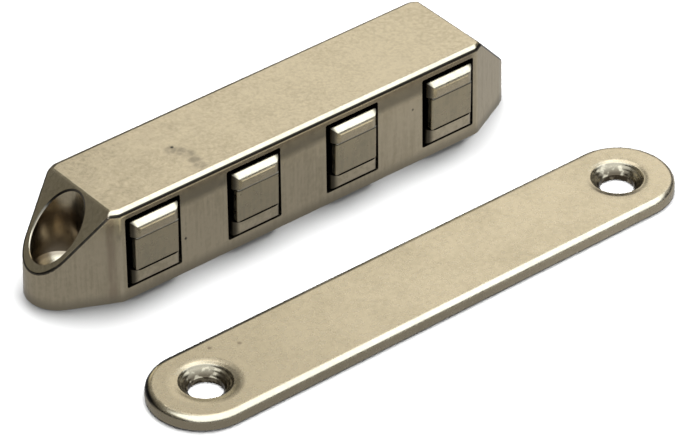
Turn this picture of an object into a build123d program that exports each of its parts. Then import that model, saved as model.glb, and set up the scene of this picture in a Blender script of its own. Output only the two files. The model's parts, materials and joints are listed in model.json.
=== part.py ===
from build123d import *
import math
import os

# A heavy magnetic catch and its strike plate, lying side by side as they come out of the box.
# Origin: centre of the catch's base face.  X runs along the catch, the pole faces look to -Y,
# +Z is up from the surface that the catch is screwed to.

# ---- driving dimensions, in millimetres and degrees ----

hole_spacing = 73.4          # screw centres, the same on the catch and on the strike plate
screw_hole_diameter = 5.0
screw_head_diameter = 7.6    # counterbore of the catch, countersink mouth of the strike plate
screw_seat_angle = 90.0
overshoot = 1.0              # how far a cutter runs past the face that it opens

housing_height = 14.85
housing_depth = 15.9         # at the base, the draft takes it in towards the top
wall_draft = 1.0
shoulder_x = 31.8            # where the long sides turn in towards the noses
shoulder_radius = 1.5
nose_radius = 5.0
slope_start = 32.6           # half length of the flat top
slope_angle = 46.8
long_edge_radius = 1.0
slope_edge_radius = 0.5
seat_height = 3.6            # mouth of the conical screw seat above the base
counterbore_break = 0.2      # bevel on the rim where the counterbore meets the slope

window_count = 4
window_pitch = 17.5
window_width = 9.4
window_sill = 1.85
window_top = 13.3
window_corner_radius = 0.3
front_wall = 1.6
pocket_width = 11.4
pocket_back = 6.0
pocket_ceiling = 13.4
pocket_corner_radius = 0.5

plate_thickness = 1.95       # pressed steel plate let into the underside
plate_length = 65.6
plate_depth = 12.4
plate_corner_radius = 2.0
plate_clearance = 0.1
stud_diameter = 3.4          # cast studs, peened flush into the plate

pole_protrusion = 0.9        # pole faces in front of the housing at rest
pole_thickness = 2.4
pole_width = 8.2
pole_tail_width = 10.6       # wider tail behind the front wall keeps the pole in
pole_tail_gap = 0.4          # from the front wall to the shoulders of the tail
pole_back = 5.3
pole_corner_radius = 1.3
pole_edge_radius = 1.2
magnet_width = 7.3
magnet_height = 5.5
magnet_setback = 0.05        # magnet behind the pole faces
magnet_edge_radius = 0.3
cassette_floor = 2.4         # underside of the lower pole

strike_length = 90.0
strike_width = 15.5
strike_thickness = 2.1
strike_edge_radius = 1.0
strike_back_break = 0.15
strike_x = 1.2               # the strike plate lies beside the catch
strike_y = -31.05

# ---- values that follow from them ----

half_depth = housing_depth / 2
screw_x = hole_spacing / 2
slope_fall = math.tan(math.radians(slope_angle))
pole_front = -half_depth - pole_protrusion
window_centres = [(i - (window_count - 1) / 2) * window_pitch for i in range(window_count)]
rib_centres = [(a + b) / 2 for a, b in zip(window_centres, window_centres[1:])]


def screw_cutter():
    """Clearance hole, conical seat and room for the screw head, on the plane of the seat's mouth."""
    hole = screw_hole_diameter / 2
    head = screw_head_diameter / 2
    return CounterSinkHole(hole, head, depth=housing_height, counter_sink_angle=screw_seat_angle)


def housing_outline():
    """Base outline: straight sides that turn in and run tangent to the two round noses."""
    reach = screw_x - shoulder_x
    turn = math.atan2(half_depth, reach) - math.asin(nose_radius / math.hypot(reach, half_depth))
    nose_x = screw_x + nose_radius * math.sin(turn)
    nose_y = nose_radius * math.cos(turn)
    front = FilletPolyline(
        (-nose_x, -nose_y),
        (-shoulder_x, -half_depth),
        (shoulder_x, -half_depth),
        (nose_x, -nose_y),
        radius=shoulder_radius,
    )
    nose = ThreePointArc((nose_x, -nose_y), (screw_x + nose_radius, 0), (nose_x, nose_y))
    return make_face(Curve() + [front, nose, mirror(front, Plane.XZ), mirror(nose, Plane.YZ)])


def slope_profile():
    """Side view of the blank: flat top and the two end slopes, wider than the noses at the foot."""
    foot = slope_start + housing_height / slope_fall
    points = [(-foot, 0), (foot, 0), (slope_start, housing_height), (-slope_start, housing_height)]
    return Plane.XZ * Polygon(*points, align=None)


def end_slopes(body):
    """The faces of the two end slopes."""
    steepness = math.cos(math.radians(slope_angle))
    return body.faces().filter_by(lambda face: math.isclose(face.normal_at().Z, steepness, rel_tol=1e-6))


def housing_blank():
    """Outside of the casting, before any hollow is made."""
    prism = extrude(housing_outline(), amount=housing_height)
    prism = draft(prism.faces().filter_by(Axis.Z, reverse=True), Plane.XY, wall_draft)
    blank = prism & extrude(slope_profile(), amount=housing_depth, both=True)
    top = blank.faces().sort_by(Axis.Z)[-1]
    blank = fillet(top.edges().filter_by(Axis.X), long_edge_radius)
    return fillet(end_slopes(blank).edges(), slope_edge_radius)


def cassette_pocket():
    """Cutter for one magnet pocket with its window through the front wall."""
    front = -half_depth + front_wall
    depth = pocket_back - front
    pocket = extrude(RectangleRounded(pocket_width, depth, pocket_corner_radius), amount=pocket_ceiling)
    window_height = window_top - window_sill
    window = Plane.XZ * RectangleRounded(window_width, window_height, window_corner_radius)
    window = extrude(window, amount=front_wall + overshoot, both=True)
    window_place = Pos(0, -half_depth, window_sill + window_height / 2)
    return Pos(0, front + depth / 2, 0) * pocket + window_place * window


def plate_outline(clearance):
    """Outline of the base plate, or with a clearance that of its recess."""
    length = plate_length + 2 * clearance
    depth = plate_depth + 2 * clearance
    return RectangleRounded(length, depth, plate_corner_radius + clearance)


def stud():
    """One cast stud, peened flush with the base."""
    return extrude(Circle(stud_diameter / 2), amount=plate_thickness)


def make_housing():
    body = housing_blank()
    for side in (-1, 1):
        body -= Pos(side * screw_x, 0, seat_height) * screw_cutter()
    rims = [edge for face in end_slopes(body) for wire in face.inner_wires() for edge in wire.edges()]
    body = chamfer(rims, counterbore_break)
    for x in window_centres:
        body -= Pos(x, 0, 0) * cassette_pocket()
    body -= extrude(plate_outline(plate_clearance), amount=plate_thickness)
    for x in rib_centres:
        body += Pos(x, 0, 0) * stud()
    return body


def make_base_plate():
    plate = extrude(plate_outline(0), amount=plate_thickness)
    for x in rib_centres:
        plate -= Pos(x, 0, 0) * stud()
    return plate


def pole_corners():
    """Plan of a pole plate: narrow head through the window, wide tail behind the front wall."""
    shoulder = -half_depth + front_wall + pole_tail_gap
    head = pole_width / 2
    tail = pole_tail_width / 2
    right = [(head, pole_front), (head, shoulder), (tail, shoulder), (tail, pole_back)]
    left = [(-x, y) for x, y in reversed(right)]
    return make_face(Polyline(*right, *left, close=True))


def make_upper_pole():
    """Pole plate on its own base plane: front edge rolled over on top, corners of the head rounded."""
    outline = pole_corners()
    rolled = extrude(outline, amount=pole_thickness)
    front_edges = rolled.edges().filter_by(Axis.X).group_by(Axis.Y)[0]
    rolled = fillet(front_edges.sort_by(Axis.Z)[-1], pole_edge_radius)
    outline = fillet(outline.vertices().group_by(Axis.Y)[0], pole_corner_radius)
    return rolled & extrude(outline, amount=pole_thickness)


def make_magnet():
    """Plated block magnet on its own base plane, the edges of its front face rounded."""
    front = pole_front + magnet_setback
    depth = pole_back - front
    block = extrude(Rectangle(magnet_width, depth), amount=magnet_height)
    block = fillet(block.faces().sort_by(Axis.Y)[0].edges(), magnet_edge_radius)
    return Pos(0, front + depth / 2, 0) * block


def make_strike_plate():
    """Flat plate with round ends, a rounded upper edge and two countersunk holes."""
    plate = extrude(SlotOverall(strike_length, strike_width), amount=strike_thickness)
    plate = fillet(plate.faces().sort_by(Axis.Z)[-1].edges(), strike_edge_radius)
    plate = chamfer(plate.faces().sort_by(Axis.Z)[0].edges(), strike_back_break)
    for side in (-1, 1):
        plate -= Pos(side * screw_x, 0, strike_thickness) * screw_cutter()
    return Pos(strike_x, strike_y, 0) * plate


def make_parts():
    parts = {
        "housing": make_housing(),
        "base_plate": make_base_plate(),
        "strike_plate": make_strike_plate(),
    }
    pole = make_upper_pole()
    turned_pole = Pos(0, 0, pole_thickness) * mirror(pole, Plane.XY)
    magnet = make_magnet()
    magnet_floor = cassette_floor + pole_thickness
    upper_floor = magnet_floor + magnet_height
    for number, x in enumerate(window_centres, start=1):
        parts[f"lower_pole_{number}"] = Pos(x, 0, cassette_floor) * turned_pole
        parts[f"magnet_{number}"] = Pos(x, 0, magnet_floor) * magnet
        parts[f"upper_pole_{number}"] = Pos(x, 0, upper_floor) * pole
    return parts


os.makedirs("parts", exist_ok=True)
for name, shape in make_parts().items():
    export_step(shape, f"parts/{name}.step")
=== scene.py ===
import json
import math

import bmesh
import bpy
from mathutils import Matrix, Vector


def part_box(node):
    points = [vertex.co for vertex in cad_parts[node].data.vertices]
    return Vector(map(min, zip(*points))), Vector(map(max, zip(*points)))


# The finish of a satin nickel magnetic catch and its strike plate, on a pale floor under soft lights.

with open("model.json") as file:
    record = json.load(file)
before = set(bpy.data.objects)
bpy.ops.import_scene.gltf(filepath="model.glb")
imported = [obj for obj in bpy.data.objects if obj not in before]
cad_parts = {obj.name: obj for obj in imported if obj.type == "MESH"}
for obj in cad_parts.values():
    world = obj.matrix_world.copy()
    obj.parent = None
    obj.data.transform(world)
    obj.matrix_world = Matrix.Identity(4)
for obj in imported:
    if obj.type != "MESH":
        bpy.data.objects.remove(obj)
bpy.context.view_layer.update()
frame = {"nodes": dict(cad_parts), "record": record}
nodes = frame["nodes"]

# ---- places that the finishes refer to, in metres, from the frame ----

catch_low, catch_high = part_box("housing")
strike_low, strike_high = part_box("strike_plate")
magnet_low, magnet_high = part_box("magnet_1")
bores = {row["name"]: Vector(row["pos_m"]) for row in frame["record"]["mounts"] if row["kind"] == "bore"}
catch_holes = [place for name, place in bores.items() if name.startswith("catch")]
strike_holes = [place for name, place in bores.items() if name.startswith("strike")]

# ---- measures of the catch that the frame doesn't name ----

head_radius = 0.0038         # the room for a screw head, and the mouth of a countersink
hole_radius = 0.0025
well_dark_z = 0.0034         # the screw wells are fully dark from here up
front_zone_y = -0.0070       # the front face and the round above it lie forward of this
corner_x = 0.0318            # where the long faces turn in towards the noses
window_pitch = 0.0175
pocket_half_length = 0.0320  # the row of magnet pockets, from the middle of the catch
pocket_half_depth = 0.0064
pocket_ceiling = 0.0134
shaded_from_y = -0.0080            # pole plates and magnets get painted shade from here back into the housing

# ---- where it is marked: a smudge on the flat top, pits in the casting, specks on the strike plate ----

top_smudge = [
    (-0.0173, -0.0005),
    (-0.0166, -0.0016),
    (-0.0162, -0.0027),
    (-0.0162, -0.0042),
    (-0.0165, -0.0058),
]
casting_pits = [(-0.0208, catch_low.y, 0.0056), (0.0198, catch_low.y, 0.0092), (-0.0169, 0.0, catch_high.z)]
strike_specks = [(-0.0269, -0.0274), (-0.0307, -0.0257)]

# ---- colours of the finishes ----

NICKEL = (0.62, 0.535, 0.385, 1)
NICKEL_BRIGHT = (0.66, 0.57, 0.41, 1)
NICKEL_DULL = (0.50, 0.43, 0.30, 1)
# painted shade in the screw wells and a front strip, and the colour of real specks
NICKEL_DARK = (0.29, 0.235, 0.165, 1)
# a painted highlight for the upright corners
CORNER_HIGHLIGHT = (0.71, 0.62, 0.455, 1)
# painted shade beside the left front corner
RUDDY_SHADE = (0.41, 0.325, 0.235, 1)
# painted shade on the front bands, the foot and the strike plate's sides, and the colour of a real smudge
TARNISH_AND_SHADE = (0.31, 0.27, 0.20, 1)
# painted shade in the strike plate's countersinks
COUNTERSINK = (0.075, 0.058, 0.037, 1)
# painted shade under the top edge and on the pole plates
DEEP_SHADE = (0.034, 0.029, 0.020, 1)
# painted shade on rounds, edges, pockets and magnets, and the colour of real pits
PIT_AND_SHADE_BLACK = (0.018, 0.016, 0.016, 1)
MAGNET_DULL = (0.42, 0.37, 0.265, 1)
ZINC = (0.55, 0.52, 0.46, 1)
ZINC_DULL = (0.40, 0.38, 0.34, 1)

UPRIGHT = (1, 1, 0)          # keeps only the level part of a distance


class Finish:
    """One procedural metal finish: a Principled shader and the nodes that feed it."""

    def __init__(self, name):
        self.material = bpy.data.materials.new(name)
        self.material.use_nodes = True
        self.tree = self.material.node_tree
        self.shader = self.tree.nodes["Principled BSDF"]
        self.shader.inputs["Metallic"].default_value = 1.0
        coordinates = self.node("ShaderNodeTexCoord")
        self.place = coordinates.outputs["Object"]
        self.x, self.y, self.z = self.axes(self.place)
        self.tilt = self.axes(coordinates.outputs["Normal"])[2]

    def link(self, source, target):
        self.tree.links.new(source, target)

    def node(self, kind, **settings):
        made = self.tree.nodes.new(kind)
        for key, value in settings.items():
            setattr(made, key, value)
        return made

    def axes(self, vector):
        split = self.node("ShaderNodeSeparateXYZ")
        self.link(vector, split.inputs["Vector"])
        return [split.outputs[axis] for axis in "XYZ"]

    def noise(self, scale, detail=2.0, roughness=0.5, stretch=(1, 1, 1)):
        """Noise over the piece; scale counts cells per metre, and a stretch below 1 draws them out."""
        mapping = self.node("ShaderNodeMapping")
        mapping.inputs["Scale"].default_value = stretch
        noise = self.node("ShaderNodeTexNoise")
        noise.inputs["Scale"].default_value = scale
        noise.inputs["Detail"].default_value = detail
        noise.inputs["Roughness"].default_value = roughness
        self.link(self.place, mapping.inputs["Vector"])
        self.link(mapping.outputs["Vector"], noise.inputs["Vector"])
        return noise.outputs["Fac"]

    def combine(self, operation, first, second=0.0):
        """Two values joined by one piece of arithmetic."""
        step = self.node("ShaderNodeMath", operation=operation)
        for socket, value in zip(step.inputs, (first, second)):
            if isinstance(value, float):
                socket.default_value = value
            else:
                self.link(value, socket)
        return step.outputs["Value"]

    def spread(self, source, low, high, from_low, from_high):
        """Goes smoothly from low to high while the source goes from from_low to from_high."""
        remap = self.node("ShaderNodeMapRange", interpolation_type="SMOOTHSTEP")
        remap.inputs["From Min"].default_value = from_low
        remap.inputs["From Max"].default_value = from_high
        remap.inputs["To Min"].default_value = low
        remap.inputs["To Max"].default_value = high
        self.link(source, remap.inputs["Value"])
        return remap.outputs["Result"]

    def below(self, source, level, fade, most=1.0):
        """Holds up to a level of the source, and is gone after another fade."""
        return self.spread(source, most, 0, level, level + fade)

    def above(self, source, level, fade, most=1.0):
        """Starts at a level of the source, and holds after another fade."""
        return self.spread(source, 0, most, level, level + fade)

    def within(self, source, centre, half, fade):
        """Holds where the source is no further than half from the centre, and is gone after another fade."""
        offset = self.combine("ABSOLUTE", self.combine("SUBTRACT", source, centre))
        return self.below(offset, half, fade)

    def away_from(self, centre, keep=(1, 1, 1)):
        """Distance from a place, measured only along the kept axes."""
        offset = self.node("ShaderNodeVectorMath", operation="SUBTRACT")
        offset.inputs[1].default_value = centre
        self.link(self.place, offset.inputs[0])
        kept = self.node("ShaderNodeVectorMath", operation="MULTIPLY")
        kept.inputs[1].default_value = keep
        self.link(offset.outputs["Vector"], kept.inputs[0])
        length = self.node("ShaderNodeVectorMath", operation="LENGTH")
        self.link(kept.outputs["Vector"], length.inputs[0])
        return length.outputs["Value"]

    def nearest(self, centres, keep=(1, 1, 1)):
        """Distance from the nearest of several places."""
        found = self.away_from(centres[0], keep)
        for centre in centres[1:]:
            found = self.combine("MINIMUM", found, self.away_from(centre, keep))
        return found

    def spots(self, places, radius):
        """Small soft marks at the given places."""
        return self.spread(self.nearest(places), 1, 0, 0.3 * radius, radius)

    def either(self, *masks):
        """The strongest of several masks."""
        found = masks[0]
        for mask in masks[1:]:
            found = self.combine("MAXIMUM", found, mask)
        return found

    def overlap(self, *masks):
        """Where all of several masks hold; a plain number weakens the rest."""
        found = masks[0]
        for mask in masks[1:]:
            found = self.combine("MULTIPLY", found, mask)
        return found

    def mix(self, factor, first, second):
        """Colour that goes from first to second as the factor rises."""
        blend = self.node("ShaderNodeMix", data_type="RGBA")
        self.link(factor, blend.inputs["Factor"])
        for socket, colour in ((blend.inputs["A"], first), (blend.inputs["B"], second)):
            if isinstance(colour, tuple):
                socket.default_value = colour
            else:
                self.link(colour, socket)
        return blend.outputs["Result"]

    def bump(self, height, distance, under=None):
        """Raises the surface by up to distance where the height is 1, on top of another bump."""
        bump = self.node("ShaderNodeBump")
        bump.inputs["Strength"].default_value = 1.0
        bump.inputs["Distance"].default_value = distance
        self.link(height, bump.inputs["Height"])
        if under is not None:
            self.link(under, bump.inputs["Normal"])
        return bump.outputs["Normal"]

    def done(self, colour, relief):
        """The finished material, from its colour and its bumps."""
        self.link(colour, self.shader.inputs["Base Color"])
        self.link(relief, self.shader.inputs["Normal"])
        return self.material


# ---- what the plated finishes share ----

def plated_tone(finish, mottling, streaks, bright=NICKEL, dull=NICKEL_DULL):
    """Plated colour: soft clouds, fine mottling and upright rubbing streaks on the walls."""
    cloud = finish.spread(finish.noise(150, detail=3), 0.0, 0.5, 0.3, 0.75)
    mottle = finish.spread(finish.noise(1300, detail=4, roughness=0.65), -mottling, mottling, 0.3, 0.7)
    streak = finish.spread(finish.noise(2200, detail=2, stretch=(1, 1, 0.07)), -streaks, streaks, 0.3, 0.7)
    tone = finish.combine("ADD", finish.combine("ADD", cloud, mottle), streak)
    return finish.mix(tone, bright, dull)


def worn_sheen(finish, smooth, rough):
    """Uneven roughness: polished patches among duller ones."""
    sheen = finish.spread(finish.noise(900, detail=3), smooth, rough, 0.25, 0.75)
    finish.link(sheen, finish.shader.inputs["Roughness"])


def cast_ripple(finish, peel, grain):
    """Shallow unevenness of a tumbled and plated surface, in metres."""
    broad = finish.bump(finish.noise(420, detail=2), peel)
    return finish.bump(finish.noise(2600, detail=2), grain, under=broad)


# ---- the housing ----

def front_shading(finish, colour):
    """Painted shade: two darker bands along the front face, under the rounded top edge."""
    face = finish.below(finish.y, front_zone_y, 0.0002)
    front = finish.overlap(face, finish.within(finish.x, 0.0, corner_x - 0.0018, 0.0016))
    # painted shade: a wide band and a thin strip below the round
    band = finish.within(finish.z, catch_high.z - 0.0021, 0.0008, 0.0014)
    colour = finish.mix(finish.overlap(front, band), colour, TARNISH_AND_SHADE)
    strip = finish.within(finish.z, catch_high.z - 0.0011, 0.0003, 0.0004)
    return finish.mix(finish.overlap(front, strip, 0.6), colour, NICKEL_DARK)


def edge_light_and_shade(finish, colour):
    """Painted highlight on the upright corners, and painted shade on the half-sideways rounds, beside the
    left corner, in a line under the top edge and along the foot.
    """
    front_half = finish.below(finish.y, -0.0066, 0.0006)
    patches = finish.spread(finish.noise(700, detail=2, stretch=(1, 1, 0.3)), 0.1, 0.7, 0.25, 0.6)
    # painted highlight along the upright corners, in patches
    corner = finish.within(finish.combine("ABSOLUTE", finish.x), corner_x, 0.00005, 0.0004)
    colour = finish.mix(finish.overlap(corner, front_half, patches), colour, CORNER_HIGHLIGHT)
    # painted shade on rounds that face half sideways
    rounds = finish.within(finish.tilt, 0.38, 0.16, 0.1)
    colour = finish.mix(finish.overlap(rounds, 0.8), colour, PIT_AND_SHADE_BLACK)
    # painted shade beside the left front corner
    beside = finish.within(finish.x, -corner_x - 0.0012, 0.0002, 0.0006)
    colour = finish.mix(finish.overlap(beside, front_half, patches), colour, RUDDY_SHADE)
    # painted shade: a dark line under the rounded top edge
    face = finish.below(finish.y, front_zone_y, 0.0002)
    line = finish.within(finish.z, catch_high.z - 0.00054, 0.0001, 0.0001)
    colour = finish.mix(finish.overlap(face, line), colour, DEEP_SHADE)
    # painted shade along the foot, near the floor
    return finish.mix(finish.below(finish.z, 0.0001, 0.0021, most=0.9), colour, TARNISH_AND_SHADE)


def handling_marks(finish, colour):
    """A faint smudge on the flat top, and a few pits."""
    smudge = finish.spots([(x, y, catch_high.z) for x, y in top_smudge], 0.0014)
    broken = finish.spread(finish.noise(900), 0.4, 0.8, 0.3, 0.6)
    colour = finish.mix(finish.overlap(smudge, broken), colour, TARNISH_AND_SHADE)
    return finish.mix(finish.spots(casting_pits, 0.00032), colour, PIT_AND_SHADE_BLACK)


def shaded_hollows(finish, colour):
    """Painted shade: screw wells that darken above their seats, and black magnet pockets."""
    well = finish.below(finish.nearest(catch_holes, UPRIGHT), head_radius + 0.00004, 0.00008)
    past_seat = finish.above(finish.z, well_dark_z - 0.0005, 0.0005)
    mouth = finish.below(finish.z, 0.0095, 0.0020)
    colour = finish.mix(finish.overlap(well, past_seat, mouth), colour, NICKEL_DARK)
    # painted shade filling the magnet pockets
    pockets = finish.overlap(
        finish.within(finish.y, 0.0, pocket_half_depth, 0.0003),
        finish.below(finish.z, pocket_ceiling, 0.0002),
        finish.within(finish.x, 0.0, pocket_half_length, 0.0002),
    )
    return finish.mix(pockets, colour, PIT_AND_SHADE_BLACK)


def casting():
    """The housing: tumbled and satin plated, with painted light and shade along its front and edges, and
    painted shade in its screw wells and magnet pockets.
    """
    finish = Finish("satin_nickel_casting")
    colour = plated_tone(finish, 0.25, 0.28)
    for layer in (front_shading, edge_light_and_shade, handling_marks, shaded_hollows):
        colour = layer(finish, colour)
    worn_sheen(finish, 0.18, 0.26)
    return finish.done(colour, cast_ripple(finish, 0.000004, 0.000003))


# ---- the strike plate ----

def far_edge_shade(finish, colour):
    """Painted shade: a dark line along the rounded back edge and round the left end."""
    half_width = (strike_high.y - strike_low.y) / 2
    end = (strike_low.x + half_width, strike_low.y + half_width, 0)
    back_edge = finish.overlap(
        finish.within(finish.y, strike_high.y, 0.0009, 0.0003),
        finish.spread(finish.x, 1, 0.25, strike_low.x, strike_high.x),
    )
    end_edge = finish.overlap(
        finish.above(finish.away_from(end, UPRIGHT), half_width - 0.0007, 0.0004),
        finish.below(finish.x, end[0], 0.0004),
        finish.above(finish.y, end[1] - 0.0020, 0.0045),
        finish.above(finish.z, strike_high.z - 0.0009, 0.0003),
    )
    return finish.mix(finish.either(back_edge, end_edge), colour, PIT_AND_SHADE_BLACK)


def countersink_relief(finish, from_hole, under):
    """Drawn-in rims round the countersinks and fine turned rings inside them."""
    ring_pitch = 0.00045
    drawn_in = finish.above(from_hole, head_radius - 0.0002, 0.0018)
    rim = finish.bump(drawn_in, 0.00015, under=under)
    lip = finish.bump(finish.above(from_hole, head_radius - 0.0004, 0.0012), 0.00013, under=rim)
    rings = finish.combine("SINE", finish.combine("MULTIPLY", from_hole, 2 * math.pi / ring_pitch))
    turned = finish.overlap(finish.below(from_hole, head_radius - 0.0002, 0.0002), rings)
    return finish.bump(turned, 0.00002, under=lip)


def strike_sheet():
    """The strike plate: the same plating on pressed steel, duller to the left, with painted shade on its
    steep sides and in its countersinks.
    """
    finish = Finish("satin_nickel_strike")
    colour = plated_tone(finish, 0.25, 0.0, NICKEL_BRIGHT)
    # darker towards the left end
    darker_leftward = finish.spread(finish.x, 0.6, 0, strike_low.x + 0.004, 0.008)
    colour = finish.mix(darker_leftward, colour, NICKEL_DULL)
    # painted shade on the steep sides
    colour = finish.mix(finish.below(finish.tilt, 0.1, 0.2, most=0.3), colour, TARNISH_AND_SHADE)

    from_hole = finish.nearest(strike_holes, UPRIGHT)
    # painted shade in the countersinks, deeper towards the hole, in patches
    sunk = finish.below(from_hole, head_radius - 0.0001, 0.0001)
    deeper = finish.spread(from_hole, 1, 0.6, hole_radius + 0.0001, head_radius - 0.0002)
    patchy = finish.spread(finish.noise(1100), 0.5, 1, 0.35, 0.5)
    colour = finish.mix(finish.overlap(sunk, deeper, patchy), colour, COUNTERSINK)

    colour = far_edge_shade(finish, colour)
    specks = finish.spots([(x, y, strike_high.z) for x, y in strike_specks], 0.00045)
    colour = finish.mix(finish.overlap(specks, 0.8), colour, NICKEL_DARK)
    worn_sheen(finish, 0.22, 0.30)
    ripple = cast_ripple(finish, 0.000004, 0.000003)
    return finish.done(colour, countersink_relief(finish, from_hole, ripple))


# ---- the magnet cassettes and the base plate ----

def pole_steel(name, smooth, rough, grain, mottling):
    """Sheared and tumbled steel under thin plating, with painted shade at its corners, at the magnet joint
    and behind the housing's front.
    """
    finish = Finish(name)
    colour = plated_tone(finish, mottling, 0.0)
    # painted shade behind the housing's front
    behind = finish.above(finish.y, shaded_from_y, 0.0003)
    # painted shade in the joint under the magnet
    joint = finish.within(finish.z, magnet_low.z, 0.00002, 0.00002)
    # painted shade at each pole plate's corners
    along = finish.combine("ADD", finish.x, 1.5 * window_pitch)
    from_middle = finish.combine("PINGPONG", along, window_pitch / 2)
    corners = finish.above(from_middle, 0.0032, 0.0007, most=0.9)
    colour = finish.mix(finish.either(behind, joint, corners), colour, DEEP_SHADE)
    worn_sheen(finish, smooth, rough)
    return finish.done(colour, finish.bump(finish.noise(2400, detail=4, roughness=0.6), grain))


def magnet_plating():
    """Plated block magnet, with painted shade along its joints against its two pole plates and behind the
    housing's front.
    """
    finish = Finish("plated_magnet")
    colour = plated_tone(finish, 0.4, 0.3, NICKEL_DULL, MAGNET_DULL)
    # painted shade behind the housing's front and at both joints with the pole plates
    behind = finish.above(finish.y, shaded_from_y, 0.0003)
    lower_joint = finish.below(finish.z, magnet_low.z + 0.00012, 0.00008)
    upper_joint = finish.above(finish.z, magnet_high.z - 0.0004, 0.00015, most=0.8)
    colour = finish.mix(finish.either(behind, lower_joint, upper_joint), colour, PIT_AND_SHADE_BLACK)
    worn_sheen(finish, 0.26, 0.36)
    return finish.done(colour, cast_ripple(finish, 0.000004, 0.000004))


def base_steel():
    """Pressed base plate: dull zinc plate in soft clouds."""
    finish = Finish("zinc_plated_base")
    colour = finish.mix(finish.spread(finish.noise(300, detail=4), 0, 1, 0.3, 0.7), ZINC, ZINC_DULL)
    worn_sheen(finish, 0.30, 0.42)
    return finish.done(colour, cast_ripple(finish, 0.000004, 0.000005))


def dress():
    """Gives every solid of the catch and the strike plate its finish."""
    finishes = {
        "housing": casting(),
        "strike_plate": strike_sheet(),
        "base_plate": base_steel(),
        "upper_pole": pole_steel("tumbled_pole_steel", 0.18, 0.26, 0.000004, 0.4),
        "lower_pole": pole_steel("pitted_pole_steel", 0.28, 0.40, 0.00001, 0.8),
        "magnet": magnet_plating(),
    }
    for name, piece in nodes.items():
        kind = name.rstrip("_1234")
        piece.data.materials.clear()
        piece.data.materials.append(finishes[kind])


# ---- floor, lights and room ----

def plain_floor(name, shade, level):
    """A wide level floor in one matt shade."""
    mesh = bpy.data.meshes.new(name)
    sheet = bmesh.new()
    bmesh.ops.create_grid(sheet, x_segments=1, y_segments=1, size=3)
    bmesh.ops.translate(sheet, verts=sheet.verts, vec=(0, 0, level))
    sheet.to_mesh(mesh)
    sheet.free()
    floor = bpy.data.objects.new(name, mesh)
    bpy.context.scene.collection.objects.link(floor)
    material = bpy.data.materials.new(name)
    material.use_nodes = True
    shader = material.node_tree.nodes["Principled BSDF"]
    shader.inputs["Base Color"].default_value = (shade, shade, shade, 1)
    shader.inputs["Roughness"].default_value = 0.9
    shader.inputs["Specular IOR Level"].default_value = 0.0
    mesh.materials.append(material)
    return floor


def lit_bench():
    """A plain bench top that only the metal sees, a little lighter towards the right."""
    bench = plain_floor("bench", 0.0, -0.00001)
    tree = bench.data.materials[0].node_tree
    shader = tree.nodes["Principled BSDF"]
    shader.inputs["Emission Strength"].default_value = 1.0
    place = tree.nodes.new("ShaderNodeTexCoord")
    split = tree.nodes.new("ShaderNodeSeparateXYZ")
    ramp = tree.nodes.new("ShaderNodeMapRange")
    for socket, value in (("From Min", 0.006), ("From Max", 0.027), ("To Min", 0.345), ("To Max", 0.47)):
        ramp.inputs[socket].default_value = value
    tree.links.new(place.outputs["Object"], split.inputs["Vector"])
    tree.links.new(split.outputs["X"], ramp.inputs["Value"])
    tree.links.new(ramp.outputs["Result"], shader.inputs["Emission Color"])
    bench.visible_camera = False
    bench.visible_diffuse = False
    bench.visible_shadow = False
    bench.visible_transmission = False


def soft_light(name, toward, distance, width, height, brightness, mirrored, colour=(1, 1, 1)):
    """A rectangular light in the given direction; the metal mirrors it, or else it only lights the paper."""
    data = bpy.data.lights.new(name, "AREA")
    data.shape = "RECTANGLE"
    data.size = width
    data.size_y = height
    data.energy = brightness * width * height
    data.color = colour
    light = bpy.data.objects.new(name, data)
    bpy.context.scene.collection.objects.link(light)
    out = Vector(toward).normalized()
    light.location = out * distance
    light.rotation_euler = out.to_track_quat("Z", "Y").to_euler()
    light.visible_glossy = mirrored
    light.visible_diffuse = not mirrored


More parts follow.
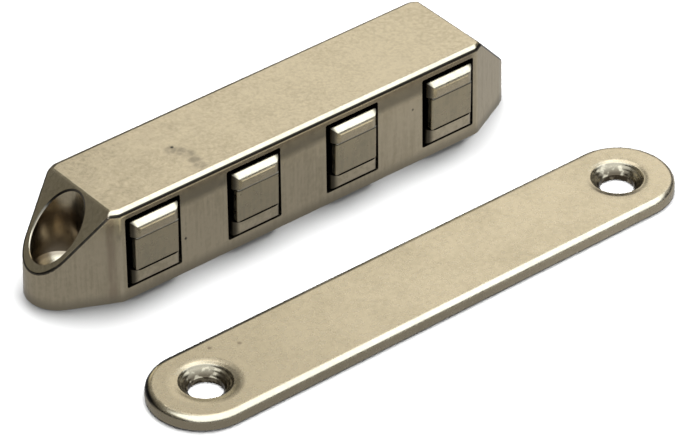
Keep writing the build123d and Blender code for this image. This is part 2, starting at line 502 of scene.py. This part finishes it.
def dim_room():
    """A dim warm room that grows lighter towards the ceiling."""
    world = bpy.data.worlds.new("dim_room")
    bpy.context.scene.world = world
    world.use_nodes = True
    tree = world.node_tree
    direction = tree.nodes.new("ShaderNodeTexCoord")
    split = tree.nodes.new("ShaderNodeSeparateXYZ")
    ramp = tree.nodes.new("ShaderNodeValToRGB")
    stops = [(0.0, 0.01), (0.22, 0.01), (0.42, 0.2), (0.8, 0.25), (1.0, 0.4)]
    elements = ramp.color_ramp.elements
    while len(elements) < len(stops):
        elements.new(0.5)
    for element, (height, level) in zip(elements, stops):
        element.position = height
        element.color = (level, 0.98 * level, 0.88 * level, 1)
    tree.links.new(direction.outputs["Generated"], split.inputs["Vector"])
    tree.links.new(split.outputs["Z"], ramp.inputs["Fac"])
    tree.links.new(ramp.outputs["Color"], tree.nodes["Background"].inputs["Color"])


def studio():
    """White paper as seen, a grey bench as the metal mirrors it, and the lights."""
    paper = plain_floor("paper", 0.08, -0.00002)
    paper.visible_glossy = False
    lit_bench()
    soft_light("overhead", (0.24, 0.20, 0.97), 1.0, 0.70, 0.70, 400.0, False)
    soft_light("floor_fill", (0.15, -0.85, 0.5), 1.0, 1.0, 0.5, 40.0, False)
    soft_light("front_panel", (-0.05, -0.50, 0.86), 0.9, 2.4, 1.9, 8.0, True, (0.76, 0.86, 1.0))
    soft_light("back_card", (0.745, 0.455, 0.54), 0.6, 0.5, 0.34, 2.7, True, (1.0, 0.985, 0.93))
    soft_light("rim_light", (0.34, 0.36, 0.87), 0.9, 0.4, 0.25, 5.0, True)
    dim_room()


def camera():
    """Looks down on the catch through a long lens, from the left of its front."""
    azimuth = math.radians(-39.28)
    elevation = math.radians(36.03)
    distance = 0.6668
    target = Vector((0.00314, -0.01196, 0))
    back = Vector((
        math.sin(azimuth) * math.cos(elevation),
        -math.cos(azimuth) * math.cos(elevation),
        math.sin(elevation),
    ))
    data = bpy.data.cameras.new("camera")
    data.sensor_width = 36
    data.lens = 252.6
    data.clip_start = 0.05
    data.clip_end = 20
    eye = bpy.data.objects.new("camera", data)
    bpy.context.scene.collection.objects.link(eye)
    eye.location = target + back * distance
    eye.rotation_euler = (-back).to_track_quat("-Z", "Y").to_euler()
    bpy.context.scene.camera = eye


dress()
studio()
camera()
bpy.context.scene.view_settings.view_transform = "Standard"
